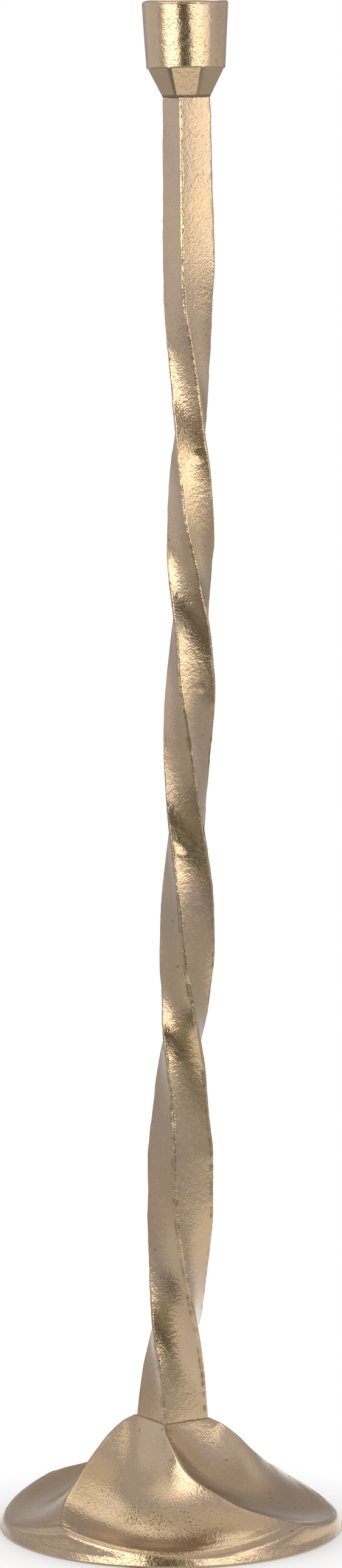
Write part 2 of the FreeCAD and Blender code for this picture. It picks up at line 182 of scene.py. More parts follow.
def seen_place(points, normals, pixel):
    """The surface point that the camera sees at a pixel."""
    facing = np.sum((np.array(CAMERA_PLACE) - points) * normals, axis=-1) > 0
    off = np.linalg.norm(photo_place(points) - np.array(pixel), axis=-1)
    return points.reshape(-1, 3)[np.where(facing, off, np.inf).argmin()]


# Grids of points, rows by columns, that close on themselves across the columns

def grid_normals(points, closed_rows):
    """Outward normal at each point of a grid."""
    across = np.roll(points, -1, 1) - np.roll(points, 1, 1)
    if closed_rows:
        along = np.roll(points, -1, 0) - np.roll(points, 1, 0)
    else:
        along = np.gradient(points, axis=0)
    normals = np.cross(across, along)
    return normals / np.maximum(np.linalg.norm(normals, axis=-1, keepdims=True), 1e-12)


def ring(radius, height, angle, centre_x=0):
    """Points at a radius and a height around an upright axis."""
    return np.stack([centre_x + radius * np.cos(angle), radius * np.sin(angle), angle * 0 + height], -1)


def around(columns):
    """Angles of a ring's columns, from 0 to just short of a full turn."""
    return np.arange(columns) / columns * 2 * math.pi


def add_mesh(name, vertices, faces):
    """New mesh object in the scene."""
    mesh = bpy.data.meshes.new(name)
    mesh.from_pydata(vertices, [], faces)
    piece = bpy.data.objects.new(name, mesh)
    bpy.context.scene.collection.objects.link(piece)
    return piece


def grid_object(name, points, closed_rows, shades):
    """Mesh object of a grid, with one number per point for each shade."""
    rows, columns = points.shape[:2]
    index = np.arange(rows * columns).reshape(rows, columns)
    low = index if closed_rows else index[:-1]
    high = np.roll(index, -1, 0) if closed_rows else index[1:]
    quads = np.stack([low, np.roll(low, -1, 1), np.roll(high, -1, 1), high], -1).reshape(-1, 4)
    faces = quads.tolist()
    if not closed_rows:
        faces += [index[0, ::-1].tolist(), index[-1].tolist()]
    piece = add_mesh(name, points.reshape(-1, 3).tolist(), faces)
    mesh = piece.data
    mesh.shade_smooth()
    for shade, values in shades.items():
        attribute = mesh.attributes.new(shade, "FLOAT", "POINT")
        attribute.data.foreach_set("value", np.ascontiguousarray(values, np.float32).ravel())
    mesh.validate()
    return piece


# Hand-made unevenness

LIP_HEIGHT_SHARE = 0.25
LIP_PLACE_SHARE = 1.7
LIP_WIDTH_SHARE = 0.5
PIT_RADII = (0.22 * MM, 0.42 * MM)
PIT_DEPTH_SHARE = 0.35
HAMMERED_LENGTHS = (13 * MM, 4.2 * MM, 1.5 * MM)


def add_marks(points, normals, marks):
    """Depth and darkness of small dents and pits, each given by its pixel, radius, depth and darkness."""
    depth = np.zeros(points.shape[:-1])
    dark = np.zeros(points.shape[:-1])
    for pixel, radius, fall, darkness in marks:
        off = np.linalg.norm(points - seen_place(points, normals, pixel), axis=-1) / radius
        bowl = np.exp(-off ** 2)
        lip = np.exp(-((off - LIP_PLACE_SHARE) / LIP_WIDTH_SHARE) ** 2)
        depth += (LIP_HEIGHT_SHARE * lip - bowl) * fall
        dark += bowl * darkness
    return depth, np.clip(dark, 0, 1)


def add_pits(points, count, seed, radii=PIT_RADII, depth_share=PIT_DEPTH_SHARE):
    """Depth and darkness of scattered casting pits, at points drawn from the grid."""
    draw = np.random.default_rng(seed)
    flat = points.reshape(-1, 3)
    depth = np.zeros(len(flat))
    dark = np.zeros(len(flat))
    for place in flat[draw.integers(0, len(flat), count)]:
        radius = draw.uniform(*radii)
        near = np.abs(flat - place).max(-1) < 3 * radius
        off = np.linalg.norm(flat[near] - place, axis=-1) / radius
        depth[near] -= np.exp(-off ** 2) * radius * depth_share
        dark[near] += np.exp(-off ** 2)
    return depth.reshape(points.shape[:-1]), np.clip(dark, 0, 1).reshape(points.shape[:-1])


def hammered(points, swell, ripple, grain, seed):
    """Unevenness of a hand-finished casting: broad swells, ripples and grain of the given heights."""
    return layered(points, zip(HAMMERED_LENGTHS, (swell, ripple, grain)), seed)


# Stem

STEM_RINGS = 1000
SHARP_EDGE = math.radians(50)
FACE_SHARES = [
    -1, -0.955, -0.9, -0.83, -0.74, -0.63, -0.5, -0.36, -0.2,
    0, 0.2, 0.36, 0.5, 0.63, 0.74, 0.83, 0.9, 0.955,
]
CORNER_SHARES = [0, 0.2, 0.4, 0.6, 0.8]
CORNER_FLATNESS = 1.45
CORNER_UNEVEN_SHARE = 0.35
CORNER_WAVE = 6 * MM
CORNERS_APART = 40 * MM
EDGE_FALL = 24

# Wavelengths and heights of the waves along the corners

CORNER_WAVES = ((2.3 * MM, 0.10 * MM), (9 * MM, 0.14 * MM))

# Painted shade: a broken dark line on the left of each corner, fainter on the corner and on its right

SHADE_LINE_PLACE_SHARE = 0.91
SHADE_LINE_WIDTH_SHARE = 0.06
SHADE_LINE_FAINT_SHARE = 0.35
SHADE_LINE_DARKEST_SHARE = 0.85
SHADE_LINE_TOP_LOSS_SHARE = 0.75
SHADE_LINE_LOSS_SHARES = (0.6, 0.75)
SHADE_LINE_LEVEL = 0.25
SHADE_LINE_DASHES = ((2.2 * MM, 1.3), (17.6 * MM, 0.9))

# Heights of swells, ripples and grain, count of pits, and where the grain is livelier

STEM_HAMMERING = (0.08 * MM, 0.015 * MM, 0.003 * MM)
STEM_PITS = 26
STEM_END_SHARE = 0.004
STEM_TOP_SHARES = (0.55, 0.8)
STEM_TOP_LIVELY = 0.25
EDGE_LIVELY = 0.4

# Radius and depth of the tapped holes

STEM_TOP_HOLE = (2.6 * MM, 17.8 * MM)
STEM_FOOT_HOLE = (4.1 * MM, 23.4 * MM)

# Single dents and pits that the photo shows: pixel, radius, depth and darkness

STEM_MARKS = [
    ((326, 750), 1.6 * MM, 0.28 * MM, 0),
    ((300, 1388), 1.9 * MM, 0.3 * MM, 0),
    ((332, 1130), 1.4 * MM, 0.12 * MM, 0),
    ((292, 1588), 0.55 * MM, 0.5 * MM, 1),
    ((268, 1722), 0.5 * MM, 0.2 * MM, 0.3),
]
FOOT_MARKS = [
    ((280, 2503), 1.0 * MM, 0.5 * MM, 1),
    ((506, 2516), 1.1 * MM, 0.5 * MM, 0.9),
    ((105, 2523), 0.7 * MM, 0.35 * MM, 0.8),
    ((56, 2513), 0.45 * MM, 0.25 * MM, 0.9),
    ((470, 2503), 0.6 * MM, 0.3 * MM, 0.7),
]


def stem_grid():
    """Rings of the twisted square bar, how near each point is to a corner, and the painted shade line beside
    each corner.
    """
    share = np.linspace(0, 1, STEM_RINGS)[:, None]
    side = STEM_SIDE * blend_share(STEM_HEIGHT_SHARES, STEM_SIDE_SHARES, share)
    turn = SEAT_TURN - STEM_TWIST * blend_share(STEM_HEIGHT_SHARES, STEM_TURN_SHARES, share)
    half = side / 2
    hollow = STEM_HOLLOW * side / STEM_SIDE
    height = share * STEM_LENGTH
    faces = np.array(FACE_SHARES)
    angle = np.array(CORNER_SHARES) * math.pi / 2
    # Nearness to a corner, which gets a painted highlight and livelier grain
    near_edge = np.append(np.abs(faces) ** EDGE_FALL, np.ones(len(angle)))
    # Painted shade: a broken dark line beside each corner, fading up the stem
    near_shade_line = np.exp(-((np.abs(faces) - SHADE_LINE_PLACE_SHARE) / SHADE_LINE_WIDTH_SHARE) ** 2)
    near_shade_line *= np.where(faces > 0, 1, SHADE_LINE_FAINT_SHARE)
    near_shade_line = np.append(near_shade_line, np.full(len(angle), SHADE_LINE_FAINT_SHARE))
    kept = 1 - SHADE_LINE_TOP_LOSS_SHARE * smooth_step(*SHADE_LINE_LOSS_SHARES, share)
    quarters = []
    shade_lines = []
    for k in range(4):
        along = np.concatenate([height, height * 0 + CORNERS_APART * k, height * 0], -1)
        corner = STEM_CORNER * (1 + CORNER_UNEVEN_SHARE * noise(along, CORNER_WAVE, 11)[:, None])
        reach = corner + layered(along, CORNER_WAVES, 12)[:, None]
        flat = half - corner
        inward = half - hollow * (1 - faces ** 2)
        x = np.concatenate([inward, flat + reach * np.cos(angle) ** CORNER_FLATNESS], 1)
        y = np.concatenate([flat * faces, flat + reach * np.sin(angle) ** CORNER_FLATNESS], 1)
        spin = turn + math.radians(90 * k - 45)
        spun_x = x * np.cos(spin) - y * np.sin(spin)
        spun_y = x * np.sin(spin) + y * np.cos(spin)
        quarters.append(np.stack([spun_x, spun_y], -1))
        broken = layered(along, SHADE_LINE_DASHES, 14, SHADE_LINE_LEVEL)
        shade_lines.append(np.clip(broken, 0, SHADE_LINE_DARKEST_SHARE)[:, None] * near_shade_line * kept)
    section = np.concatenate(quarters, 1)
    tilt = CUP_TILT * share
    sway = blend_share(STEM_HEIGHT_SHARES, STEM_SWAY_SHARES, share)
    centre_x = SEAT_OFFSET + STEM_LEAN * share + STEM_BOW * (4 * share * (1 - share) + sway)
    points = np.stack([
        centre_x + section[..., 0] * np.cos(tilt),
        section[..., 1],
        SEAT_Z + height - section[..., 0] * np.sin(tilt),
    ], -1)
    edge = np.broadcast_to(np.tile(near_edge, 4), points.shape[:2])
    return points, edge, np.concatenate(shade_lines, 1)


def hole_ring(end, radius, rise):
    """Ring of a tapped hole in an end of the stem, at a height above or below that end."""
    middle = end.mean(0)
    spokes = (end - middle) * (1, 1, 0)
    return middle + spokes / np.linalg.norm(spokes, axis=-1, keepdims=True) * radius + (0, 0, rise)


def make_stem(finish):
    points, edge, shade_line = stem_grid()
    normals = grid_normals(points, False)
    dents, dent_dark = add_marks(points, normals, STEM_MARKS)
    pits, pit_dark = add_pits(points, STEM_PITS, 5)
    share = np.linspace(0, 1, STEM_RINGS)[:, None]
    ends = smooth_step(0, STEM_END_SHARE, share) * smooth_step(1, 1 - STEM_END_SHARE, share)
    depth = hammered(points, *STEM_HAMMERING, 21) * ends + dents + pits
    points = points + normals * depth[..., None]
    lively = STEM_TOP_LIVELY * smooth_step(*STEM_TOP_SHARES, share)
    # Dark pits and dents, with the painted shade line beside each corner
    pits_and_painted_shade = np.maximum(np.maximum(dent_dark, pit_dark), shade_line)
    shades = {"edge": edge, "pits_and_painted_shade": pits_and_painted_shade, "speckle": np.maximum(edge * EDGE_LIVELY, lively)}
    for name, shade in shades.items():
        shades[name] = np.pad(shade, ((2, 2), (0, 0)))
    low = [hole_ring(points[0], STEM_FOOT_HOLE[0], rise) for rise in (STEM_FOOT_HOLE[1], 0)]
    high = [hole_ring(points[-1], STEM_TOP_HOLE[0], rise) for rise in (0, -STEM_TOP_HOLE[1])]
    piece = grid_object("stem_casting", np.concatenate([low, points, high]), False, shades)
    piece.data.set_sharp_from_angle(angle=SHARP_EDGE)
    return dress(piece, finish, "gold_casting", "twisted_stem")


# Foot

PAD_RADIUS = 4.5 * MM
PAD_THICKNESS = 1.6 * MM
PAD_RING = 54 * MM
PAD_COUNT = 4
PAD_COLUMNS = 64
PAD_EDGE = 0.35 * MM
PAD_MIDDLE = (0.02 * MM, 0.5 * MM)
PAD_FLAT_ROWS = 9
PAD_EDGE_ROWS = 12
PAD_FUZZ = ((0.9 * MM, 0.05 * MM), (0.4 * MM, 0.03 * MM))
PAD_FUZZ_DEPTH = 0.07 * MM
FOOT_COLUMNS_PER_RIDGE = 100
FOOT_RIDGES = 4
FOOT_TOP_ROWS = 150
RIDGE_SOFTNESS_SHARE = 0.012
RIDGE_SOFT_BY_SHARE = 0.125
RIM_ROUND_FROM = 0.86
RIM_CREASE = 2.6 * MM
RIM_LEAN = 0.85 * MM
RIM_ROUNDNESS = 1.7
RIM_ROWS = 10
RIM_SHINE = 0.7
RIM_FOOT = 0.5 * MM
RIM_FOOT_SHARES = [(0.1, 0.5), (0.3, 0.2), (1, 0)]
LAND_EDGE = 0.4 * MM
LAND_ROWS = 18
BOSS_FILLET = 1 * MM
BOSS_CHAMFER = 0.5 * MM
HOLE_CHAMFER = 0.3 * MM
HOLE_ROWS = 6
UNDER_STEP = 2.4 * MM
UNDER_HAMMERED_SHARE = 0.6
EVEN_ROWS_SHARE = 0.55
RECESS_GAP = 0.5 * MM
RECESS_RISE = 0.05 * MM
RIDGE_SHINE_SHARE = 0.05
RIDGE_SHINE_TO_SHARE = 0.7
SEAT_CALM_SHARE = 0.03
FOOT_HAMMERING = (0.11 * MM, 0.015 * MM, 0.003 * MM)
FOOT_PITS = 60

# Sparkling, speckled patches of the foot's front: pixel and reach

FOOT_SPECKLES = [
    ((150, 2430), 6 * MM), ((185, 2462), 7 * MM), ((140, 2500), 8 * MM), ((225, 2505), 8 * MM),
    ((265, 2512), 9 * MM), ((305, 2514), 9 * MM), ((345, 2512), 8 * MM), ((420, 2518), 8 * MM),
]


def pad_places():
    turns = [SEAT_TURN + 2 * math.pi * k / PAD_COUNT for k in range(PAD_COUNT)]
    return [(PAD_RING * math.cos(turn), PAD_RING * math.sin(turn)) for turn in turns]


def foot_top_row(reach, valley_share, ridge_number):
    """One ring of the swirling top, at a share of the way out."""
    seat = SEAT_SIDE / 2
    corner = seat * math.sqrt(2)
    ridge_radius = corner + (FOOT_RADIUS - corner) * reach
    valley_radius = seat + (FOOT_RADIUS - seat) * reach
    square = (1 / np.cos(math.pi / 2 * (valley_share - 0.5)) - 1) / (math.sqrt(2) - 1)
    radius = valley_radius + (ridge_radius - valley_radius) * square
    ridge = blend_share(FOOT_REACH_SHARES, FOOT_RIDGE_SHARES, reach)
    valley = blend_share(FOOT_REACH_SHARES, FOOT_VALLEY_SHARES, reach)
    to_ridge = 1 - np.abs(2 * valley_share - 1)
    soft = RIDGE_SOFTNESS_SHARE * min(1, reach / RIDGE_SOFT_BY_SHARE)
    near_ridge = 1 + soft - np.sqrt(to_ridge ** 2 + soft ** 2)
    climb = valley + (ridge - valley) * near_ridge ** 2
    height = LIFT + RIM_HEIGHT + (FOOT_HEIGHT - RIM_HEIGHT) * climb
    swirl = FOOT_SWIRL * blend_share(FOOT_REACH_SHARES, FOOT_SWIRL_SHARES, reach)
    angle = SEAT_TURN + swirl + math.pi / 2 * (valley_share + ridge_number)
    rounded = max(0, (reach - RIM_ROUND_FROM) / (1 - RIM_ROUND_FROM))
    radius = radius - RIM_LEAN * rounded
    height = height - (RIM_HEIGHT - RIM_CREASE) * rounded ** RIM_ROUNDNESS
    x = radius * np.cos(angle) + SEAT_OFFSET * (1 - reach)
    return np.stack([x, radius * np.sin(angle), height], -1)


def foot_under_outline():
    """Radius and height along the rim, the underside, the boss and the bolt hole, as a round section."""
    land = FOOT_RADIUS - RIM_LAND
    outline = [(FOOT_RADIUS - RIM_FOOT * inset, LIFT + RIM_FOOT * rise) for inset, rise in RIM_FOOT_SHARES]
    flat = np.linspace(FOOT_RADIUS - RIM_FOOT - LAND_EDGE, land + LAND_EDGE, LAND_ROWS)
    outline += [(radius, LIFT) for radius in flat]
    outline += [(land, LIFT + LAND_EDGE)]
    for share in HOLLOW_REACH_SHARES:
        radius = SEAT_SIDE / 2 + (FOOT_RADIUS - SEAT_SIDE / 2) * share - FOOT_WALL / 2
        valley = float(blend_share(FOOT_REACH_SHARES, FOOT_VALLEY_SHARES, share))
        outline.append((radius, LIFT + RIM_HEIGHT + (FOOT_HEIGHT - RIM_HEIGHT) * valley - FOOT_WALL))
    roof = outline[-1][1]
    outline += [(BOSS_RADIUS + BOSS_FILLET, roof), (BOSS_RADIUS, roof - BOSS_FILLET)]
    outline += [(BOSS_RADIUS, BOSS_Z + BOSS_CHAMFER), (BOSS_RADIUS - BOSS_CHAMFER, BOSS_Z)]
    outline += [(BOLT_HOLE_RADIUS + HOLE_CHAMFER, BOSS_Z), (BOLT_HOLE_RADIUS, BOSS_Z + HOLE_CHAMFER)]
    outline += [(BOLT_HOLE_RADIUS, SEAT_Z - HOLE_CHAMFER), (BOLT_HOLE_RADIUS + HOLE_CHAMFER, SEAT_Z)]
    return refine(outline, UNDER_STEP)


def refine(outline, step):
    """Outline with points added so that none are further apart than the step."""
    points = [outline[0]]
    for (a, b), (c, d) in zip(outline, outline[1:]):
        count = max(1, math.ceil(math.hypot(c - a, d - b) / step))
        points += [(a + (c - a) * i / count, b + (d - b) * i / count) for i in range(1, count + 1)]
    return points


def foot_grid():
    """Rings over the top of the foot, round its rim and back under it to the bolt hole."""
    columns = FOOT_RIDGES * FOOT_COLUMNS_PER_RIDGE
    number = np.arange(columns)
    ridge_number = number // FOOT_COLUMNS_PER_RIDGE
    valley_share = number % FOOT_COLUMNS_PER_RIDGE / FOOT_COLUMNS_PER_RIDGE
    spread = np.linspace(-1, 1, FOOT_TOP_ROWS)
    crowded = np.sin(spread * math.pi / 2)
    reaches = 0.5 + 0.5 * (EVEN_ROWS_SHARE * spread + (1 - EVEN_ROWS_SHARE) * crowded)
    rows = [foot_top_row(reach, valley_share, ridge_number) for reach in reaches]
    angle = SEAT_TURN + FOOT_SWIRL + math.pi / 2 * (valley_share + ridge_number)
    for height in RIM_CREASE * np.arange(RIM_ROWS, 0, -1) / (RIM_ROWS + 1):
        rows.append(ring(FOOT_RADIUS - RIM_LEAN * height / RIM_CREASE, LIFT + height, angle))
    for radius, height in foot_under_outline():
        in_hole = radius < BOLT_HOLE_RADIUS + 2 * HOLE_CHAMFER
        rows.append(ring(radius, height, angle, SEAT_OFFSET if in_hole else 0))
    points = np.array(rows)
    for x, y in pad_places():
        under = np.hypot(points[..., 0] - x, points[..., 1] - y) < PAD_RADIUS + RECESS_GAP
        on_land = points[..., 2] < LIFT + LAND_EDGE + RECESS_RISE
        points[under & on_land, 2] = PAD_THICKNESS + RECESS_RISE
    return points, reaches


def make_foot(finish):
    points, reaches = foot_grid()
    normals = grid_normals(points, True)
    rows, columns = points.shape[:2]
    rim = slice(FOOT_TOP_ROWS, FOOT_TOP_ROWS + RIM_ROWS)
    outer = np.full(rows, UNDER_HAMMERED_SHARE)
    outer[:FOOT_TOP_ROWS] = smooth_step(0, SEAT_CALM_SHARE, reaches)
    outer[rim] = 1
    outer[-HOLE_ROWS:] = 0
    dents, dent_dark = add_marks(points, normals, FOOT_MARKS)
    pits, pit_dark = add_pits(points, FOOT_PITS, 6)
    depth = hammered(points, *FOOT_HAMMERING, 31) * outer[:, None] + (dents + pits) * (outer > 0)[:, None]
    points = points + normals * depth[..., None]
    to_ridge = 1 - np.abs(2 * (np.arange(columns) % FOOT_COLUMNS_PER_RIDGE) / FOOT_COLUMNS_PER_RIDGE - 1)
    ridge_shine = np.exp(-(to_ridge / RIDGE_SHINE_SHARE) ** 2)
    edge = np.zeros((rows, columns))
    edge[:FOOT_TOP_ROWS] = ridge_shine * smooth_step(1, RIDGE_SHINE_TO_SHARE, reaches)[:, None]
    edge[FOOT_TOP_ROWS - 3:FOOT_TOP_ROWS + 1] = RIM_SHINE
    speckle = np.zeros((rows, columns))
    for pixel, reach in FOOT_SPECKLES:
        off = np.linalg.norm(points - seen_place(points, normals, pixel), axis=-1) / reach
        speckle = np.maximum(speckle, np.exp(-off ** 2))
    shades = {"edge": edge, "pits_and_painted_shade": np.maximum(dent_dark, pit_dark), "speckle": speckle}
    piece = grid_object("foot_casting", points, True, shades)
    return dress(piece, finish, "gold_casting", "swirl_foot")


# Cup

CUP_COLUMNS = 288
FRONT_FACET = math.radians(22.6)
FRONT_AND_BACK = (0, NECK_SIDES // 2)
NECK_CALM = -0.35
FACET_SHARPNESS = 9 / MM
FACET_FACING = 0.3
FACET_SWELL = 0.03 * MM
FRONT_INSET = (0.2 * MM, 0.5 * MM)
NECK_ROWS = 34
WALL_ROWS = 66
CUP_LIP = 0.9 * MM
CUP_LIP_ROWS = 8
CUP_MOUTH = 0.7 * MM
CUP_MOUTH_ROWS = 6
CUP_LIP_GAP = 0.2 * MM
CUP_LIP_FLAT = (CUP_RIM_RADIUS - 1.4 * MM, BORE_RADIUS + 1 * MM)
CUP_LIP_FLAT_ROWS = 4
CUP_BORE_GAP = 0.8 * MM
SCREW_SEAT_CHAMFER = 0.2 * MM
CUP_GAP = 0.02 * MM
CUP_FOOT = 0.15 * MM
CUP_FLOOR_CORNER = 0.5 * MM
CUP_INSIDE_STEP = 0.6 * MM
CUP_HAMMERING = (0.045 * MM, 0.011 * MM, 0.003 * MM)
CUP_PITS = 10
CUP_PIT_RADII = (0.2 * MM, 0.35 * MM)
CUP_PIT_DEPTH_SHARE = 0.3
CUP_CALM_SHARE = 0.35
NECK_CALM_SHARES = (0.95, 1.05)
CUP_BASE_CALM = (0.3 * MM, 1.5 * MM)
CUP_UNEVEN_FROM_SHARE = 0.6
LIP_SHINE = 0.5

# Size, count and start of the waves around the cup's rim, in its height and in its roundness

RIM_HEIGHT_WAVES = ((0.176 * MM, 2, 0.6), (0.096 * MM, 5, 2))
RIM_ROUND_WAVES = ((0.006, 3, 1.0), (0.004, 2, -0.4))

# Painted shade in the neck's creases and at its foot: its darkness, and the angles across which it rises and
# falls

CREASE_LEFT = 0.75
CREASE_RIGHT = 0.4
CREASE_ALL = 0.35
CREASE_BASE = 0.7
CREASE_RISE = (0.37, 0.385)
FRONT_CREASE_RISE = (FRONT_FACET - 0.02, FRONT_FACET + 0.02)
FRONT_CREASE_FALL = (FRONT_FACET + 0.17, FRONT_FACET + 0.05)


def cup_outer_radius(height, angle):
    """Radius of the cup's outside: round above the neck, eight flats below."""
    if height >= NECK_HEIGHT:
        climb = (height - NECK_HEIGHT) / (CUP_HEIGHT - NECK_HEIGHT)
        return CUP_SHOULDER_RADIUS + (CUP_RIM_RADIUS - CUP_SHOULDER_RADIUS) * climb + angle * 0
    share = height / NECK_HEIGHT
    cone = NECK_BASE_RADIUS + (CUP_SHOULDER_RADIUS - NECK_BASE_RADIUS) * share
    flat = NECK_BASE_FLAT + (NECK_TOP_FLAT - NECK_BASE_FLAT) * share
    facet = np.full(angle.shape, np.inf)
    for k in range(NECK_SIDES):
        towards = np.cos(angle - math.pi / 2 - 2 * math.pi * k / NECK_SIDES)
        inset = FRONT_INSET[0] + (FRONT_INSET[1] - FRONT_INSET[0]) * share if k in FRONT_AND_BACK else 0
        reach = (flat - inset) / np.maximum(towards, FACET_FACING)
        facet = np.where(towards > FACET_FACING, np.minimum(facet, reach), facet)
    both = np.exp(-FACET_SHARPNESS * facet) + np.exp(-FACET_SHARPNESS * cone)
    return -np.log(both) / FACET_SHARPNESS + FACET_SWELL


def cup_grid():
    """Rings up the outside, over the rim and down the bore to the screw seat, in the cup's own frame."""
    angle = around(CUP_COLUMNS)
    neck = np.linspace(CUP_FOOT, NECK_HEIGHT - CUP_GAP, NECK_ROWS)
    wall = np.linspace(NECK_HEIGHT + CUP_GAP, CUP_HEIGHT - CUP_LIP - CUP_LIP_GAP, WALL_ROWS)
    rows = [(cup_outer_radius(height, angle), height) for height in (*neck, *wall)]
    for turn in np.linspace(0, math.pi / 2, CUP_LIP_ROWS):
        x, z = math.cos(turn), math.sin(turn)
        rows.append((CUP_RIM_RADIUS - CUP_LIP * (1 - x), CUP_HEIGHT - CUP_LIP * (1 - z)))
    for radius in np.linspace(*CUP_LIP_FLAT, CUP_LIP_FLAT_ROWS):
        rows.append((radius, CUP_HEIGHT))
    for turn in np.linspace(0, math.pi / 2, CUP_MOUTH_ROWS):
        x, z = math.sin(turn), math.cos(turn)
        rows.append((BORE_RADIUS + CUP_MOUTH * (1 - x), CUP_HEIGHT - CUP_MOUTH * (1 - z)))
    seat = CUP_FLOOR - SCREW_SINK
    inside = [
        (BORE_RADIUS, CUP_HEIGHT - CUP_MOUTH - CUP_BORE_GAP),
        (BORE_RADIUS, CUP_FLOOR + CUP_FLOOR_CORNER),
        (BORE_RADIUS - CUP_FLOOR_CORNER, CUP_FLOOR),
        (SCREW_HEAD_RADIUS + SCREW_SEAT_CHAMFER, CUP_FLOOR),
        (SCREW_HEAD_RADIUS, seat),
        (SCREW_HOLE_RADIUS, seat + SCREW_HOLE_RADIUS - SCREW_HEAD_RADIUS),
        (SCREW_HOLE_RADIUS, 0),
    ]
    rows += refine(inside, CUP_INSIDE_STEP)
    return np.array([ring(radius, height, angle) for radius, height in rows]), angle


def make_cup(finish, place):
    points, angle = cup_grid()
    normals = grid_normals(points, True)
    height = points[..., 2]
    pits, pit_dark = add_pits(points, CUP_PITS, 7, CUP_PIT_RADII, CUP_PIT_DEPTH_SHARE)
    on_wall = smooth_step(*NECK_CALM_SHARES, height / NECK_HEIGHT)
    calm = smooth_step(*CUP_BASE_CALM, height) * (CUP_CALM_SHARE + (1 - CUP_CALM_SHARE) * on_wall)
    depth = (hammered(points, *CUP_HAMMERING, 41) + pits) * calm
    points = points + normals * depth[..., None]
    high = smooth_step(CUP_UNEVEN_FROM_SHARE, 1, height / CUP_HEIGHT)
    points[..., 2] += high * waves(angle, RIM_HEIGHT_WAVES)
    points[..., :2] *= (1 + high * waves(angle, RIM_ROUND_WAVES))[..., None]
    edge = np.zeros(points.shape[:-1])
    edge[NECK_ROWS + WALL_ROWS - 2:NECK_ROWS + WALL_ROWS + CUP_LIP_ROWS] = LIP_SHINE
    # Painted shade: dark creases on the neck, a line where it meets the wall, and a dark band at its foot on
    # the stem
    crease_shade = np.zeros(points.shape[:-1])
    crease_shade[:NECK_ROWS] = neck_crease_shade(angle)
    crease_shade[NECK_ROWS - 1:NECK_ROWS + 1] = CREASE_ALL
    crease_shade[:3] = CREASE_BASE
    speckle = np.where(height < NECK_HEIGHT, NECK_CALM, 0)
    shades = {"edge": edge, "pits_and_painted_shade": np.maximum(pit_dark * calm, crease_shade), "speckle": speckle}
    piece = grid_object("cup_casting", points, True, shades)
    piece.data.transform(place)
    return dress(piece, finish, "gold_casting", "candle_cup")


def waves(angle, parts):
    """Sum of waves around a circle, each given by its size, count and start."""
    return sum(size * np.sin(angle * count + start) for size, count, start in parts)


def neck_crease_shade(angle):
    """Painted shade in the creases between the neck's facets, stronger beside the front one and most on its
    left.
    """
    sector = 2 * math.pi / NECK_SIDES
    off = np.abs((angle - math.pi / 2 + sector / 2) % sector - sector / 2)
    from_front = np.abs((angle + math.pi / 2 + math.pi) % (2 * math.pi) - math.pi)
    beside_front = smooth_step(*FRONT_CREASE_RISE, from_front) * smooth_step(*FRONT_CREASE_FALL, from_front)
    shade = np.where(np.cos(angle) < 0, CREASE_LEFT, CREASE_RIGHT) * beside_front
    return np.clip(shade + CREASE_ALL * smooth_step(*CREASE_RISE, off), 0, 1)


# Screw, bolt, washers and pads

SCREW_LENGTH = 25 * MM
SCREW_RADIUS = 2.46 * MM
SCREW_TOP = CUP_FLOOR - SCREW_SINK
SCREW_CONE = 2.4 * MM
SCREW_PITCH = 0.8 * MM
SOCKET_FLAT = 1.5 * MM
SOCKET_DEPTH = 1.9 * MM
BOLT_HEAD_Z = 4.1 * MM
BOLT_HEAD_TOP_Z = 9.4 * MM
BOLT_TIP_Z = 59.4 * MM
BOLT_RADIUS = 3.96 * MM
BOLT_HEAD_FLAT = 6.5 * MM
BOLT_PITCH = 1.25 * MM
SPRING_WASHER_RADIUS = 6.7 * MM
SPRING_WASHER_TOP_Z = 11.4 * MM
SPRING_WASHER_SPLIT = 1.4 * MM
FLAT_WASHER_RADIUS = 8 * MM
WASHER_HOLE_RADIUS = 4.2 * MM
THREAD_ROWS = 9
THREAD_DEPTH_SHARE = 0.5
THREAD_FLANK_SHARES = (0.75, 0.25)
HARDWARE_COLUMNS = 72
AXIS_GAP = 0.01 * MM
SCREW_HEAD_GAP = 0.04 * MM
SCREW_CHAMFER = 0.5 * MM
SCREW_RUNOUT = 0.1 * MM
SCREW_HEAD_EDGE = 0.15 * MM
SOCKET_RIM_RADIUS = 1.95 * MM
SOCKET_CHAMFER = 0.08 * MM
SOCKET_WALL_TOP = 0.3 * MM
SOCKET_CONE = 0.3 * MM
BOLT_FACE_INSET = 0.3 * MM
BOLT_CHAMFER_RISES = (0.15 * MM, 0.3 * MM, 0.45 * MM, 0.65 * MM)
BOLT_CHAMFER_SLOPE = 1.9
BOLT_TOP_EDGE = 0.15 * MM
BOLT_WASHER_FACE = 0.3 * MM
BOLT_WASHER_INSETS = (0.2 * MM, 0.25 * MM)
BOLT_SHANK = 1.5 * MM
BOLT_CHAMFER = 0.8 * MM
BOLT_RUNOUT = 0.1 * MM
WASHER_EDGE = 0.15 * MM


def hexagon(flat, angle):
    """Distance from a hexagon's middle to its side, at each angle."""
    sector = math.pi / 3
    return flat / np.cos((angle + sector / 2) % sector - sector / 2)


def thread_rows(low, high, radius, pitch, angle):
    """Rings of a thread that climbs by its pitch each turn and runs out at both ends."""
    rows = []
    for height in np.arange(low, high, pitch / THREAD_ROWS):
        turn = (height / pitch - angle / (2 * math.pi)) % 1
        groove = smooth_step(*THREAD_FLANK_SHARES, np.abs(2 * turn - 1))
        fade = smooth_step(low, low + pitch, height) * smooth_step(high, high - pitch, height)
        rows.append((radius - THREAD_DEPTH_SHARE * pitch * groove * fade, height))
    return rows


def turned(name, rows, angle, place):
    """Solid built up from its bottom middle to its top middle out of rings around an axis."""
    points = np.array([ring(radius, height, angle) for radius, height in rows])
    piece = grid_object(name, points, False, {})
    piece.data.set_sharp_from_angle(angle=SHARP_EDGE)
    piece.data.transform(place)
    return piece


